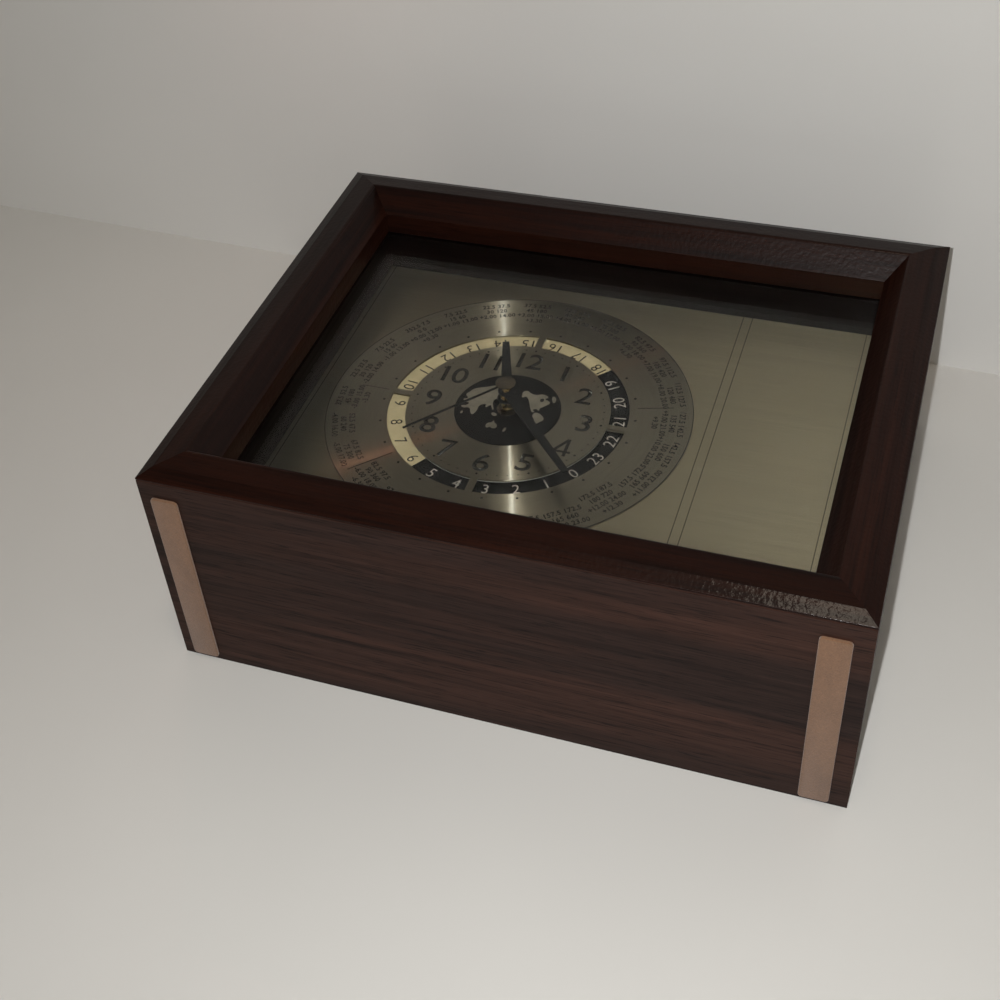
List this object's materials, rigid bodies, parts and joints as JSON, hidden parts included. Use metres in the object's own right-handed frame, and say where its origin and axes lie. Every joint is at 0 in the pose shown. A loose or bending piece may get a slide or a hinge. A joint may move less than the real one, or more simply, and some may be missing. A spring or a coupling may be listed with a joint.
{
  "type": "world time clock",
  "caption": "Battery desk clock in a low wooden case, with twelve-hour hands, a day and night ring seen through windows and a round world map at its centre.",
  "frame": {"origin": "centre of the plane that the back rim rests on, with the clock lying on its back", "axes": "+X points to 3 o'clock, +Y to 12 o'clock, +Z out of the dial; in use the clock stands on the two felt strips, which face -Y"},
  "size_m": [0.248, 0.2014, 0.0948],
  "materials": {
    "veneer": "satin lacquered rosewood veneer",
    "moulding": "gloss lacquered rosewood moulding",
    "liner": "gloss lacquered rosewood",
    "softwood": "sawn pine",
    "hardboard": "brown hardboard",
    "glass": "clear flat glass",
    "dial_metal": "champagne anodised, brushed along its length",
    "disc_metal": "champagne anodised, brushed in circles",
    "black_enamel": "satin black enamel",
    "hand_black": "semi gloss black enamel",
    "brass": "polished brass",
    "wheel_brass": "turned brass",
    "ring_print": "printed cream and black halves",
    "nylon": "natural nylon",
    "black_plastic": "fine grained black plastic",
    "grey_plastic": "grey moulded plastic",
    "steel": "zinc plated steel",
    "lamination": "dull iron sheet",
    "copper": "enamelled copper wire",
    "circuit": "green circuit board",
    "battery": "plain printed steel jacket",
    "felt": "tan felt"
  },
  "bodies": {
    "case": {"case_board_top": "veneer", "frame_rail_top": "moulding", "liner_top": "liner", "case_board_base": "veneer", "frame_rail_base": "moulding", "liner_base": "liner", "case_board_left": "veneer", "frame_rail_left": "moulding", "liner_left": "liner", "case_board_right": "veneer", "frame_rail_right": "moulding", "liner_right": "liner", "felt_strip_left": "felt", "felt_strip_right": "felt", "corner_blocks": "softwood", "back_panel": "hardboard", "back_screws": "steel", "glass_pane": "glass", "dial_plate": "dial_metal", "city_disc": "disc_metal", "map_disc": "black_enamel", "dial_eyelet": "brass", "ring_tray": "grey_plastic", "tray_bush": "wheel_brass", "idler_stud": "steel", "dial_studs": "wheel_brass", "dial_nuts": "wheel_brass", "minute_stud": "steel", "movement_front_plate": "black_plastic", "movement_case": "black_plastic", "movement_screws": "steel", "plate_pillars": "steel", "middle_plate": "grey_plastic", "stator": "lamination", "coil_spool": "nylon", "coil_winding": "copper", "circuit_board": "circuit", "timing_chip": "black_plastic", "quartz_crystal": "steel", "battery": "battery", "contact_negative": "steel", "contact_positive": "steel"},
    "minute": {"minute_hand": "hand_black", "cannon_pinion": "wheel_brass"},
    "hour": {"hour_hand": "hand_black", "hour_wheel": "wheel_brass", "ring_drive_wheel": "nylon"},
    "motion": {"minute_wheel": "nylon"},
    "setting": {"setting_gear": "nylon", "setting_knob": "grey_plastic"},
    "idler": {"idler_gear": "nylon"},
    "day_night": {"day_night_ring": "ring_print"},
    "seconds": {"second_hand": "hand_black", "centre_cap": "brass", "seconds_wheel": "wheel_brass"},
    "third": {"third_wheel": "wheel_brass"},
    "centre": {"centre_wheel": "wheel_brass"},
    "step": {"step_wheel": "nylon"},
    "rotor": {"rotor": "steel"}
  },
  "joints": [
    {"name": "minute_turn", "type": "hinge", "parent": "case", "child": "minute", "pos_m": [-0.0244, 0.0005, 0.05], "axis": [0, 0, -1], "continuous": true},
    {"name": "hour_turn", "type": "hinge", "parent": "case", "child": "hour", "pos_m": [-0.0244, 0.0005, 0.05], "axis": [0, 0, -1], "continuous": true},
    {"name": "motion_turn", "type": "hinge", "parent": "case", "child": "motion", "pos_m": [-0.0244, 0.0125, 0.05], "axis": [0, 0, -1], "continuous": true},
    {"name": "setting_turn", "type": "hinge", "parent": "case", "child": "setting", "pos_m": [-0.01406, 0.02118, 0.05], "axis": [0, 0, -1], "continuous": true},
    {"name": "idler_turn", "type": "hinge", "parent": "case", "child": "idler", "pos_m": [-0.0244, 0.02863, 0.05], "axis": [0, 0, -1], "continuous": true},
    {"name": "day_night_turn", "type": "hinge", "parent": "case", "child": "day_night", "pos_m": [-0.0244, 0.0005, 0.05], "axis": [0, 0, -1], "continuous": true},
    {"name": "seconds_turn", "type": "hinge", "parent": "case", "child": "seconds", "pos_m": [-0.0244, 0.0005, 0.05], "axis": [0, 0, -1], "continuous": true},
    {"name": "third_turn", "type": "hinge", "parent": "case", "child": "third", "pos_m": [-0.0384, 0.0005, 0.05], "axis": [0, 0, -1], "continuous": true},
    {"name": "centre_turn", "type": "hinge", "parent": "case", "child": "centre", "pos_m": [-0.0244, 0.0005, 0.05], "axis": [0, 0, -1], "continuous": true},
    {"name": "step_turn", "type": "hinge", "parent": "case", "child": "step", "pos_m": [-0.01124, -0.00429, 0.05], "axis": [0, 0, -1], "continuous": true},
    {"name": "rotor_turn", "type": "hinge", "parent": "case", "child": "rotor", "pos_m": [-0.00279, -0.00737, 0.05], "axis": [0, 0, -1], "continuous": true}
  ],
  "couplings": [
    {"joint": "hour_turn", "follows": "minute_turn", "ratio": 0.083333},
    {"joint": "motion_turn", "follows": "minute_turn", "ratio": -0.33333},
    {"joint": "setting_turn", "follows": "minute_turn", "ratio": 0.66667},
    {"joint": "idler_turn", "follows": "minute_turn", "ratio": -0.16667},
    {"joint": "day_night_turn", "follows": "minute_turn", "ratio": -0.041667},
    {"joint": "third_turn", "follows": "seconds_turn", "ratio": -0.125},
    {"joint": "centre_turn", "follows": "seconds_turn", "ratio": 0.016667},
    {"joint": "step_turn", "follows": "seconds_turn", "ratio": -6},
    {"joint": "rotor_turn", "follows": "seconds_turn", "ratio": 30}
  ]
}
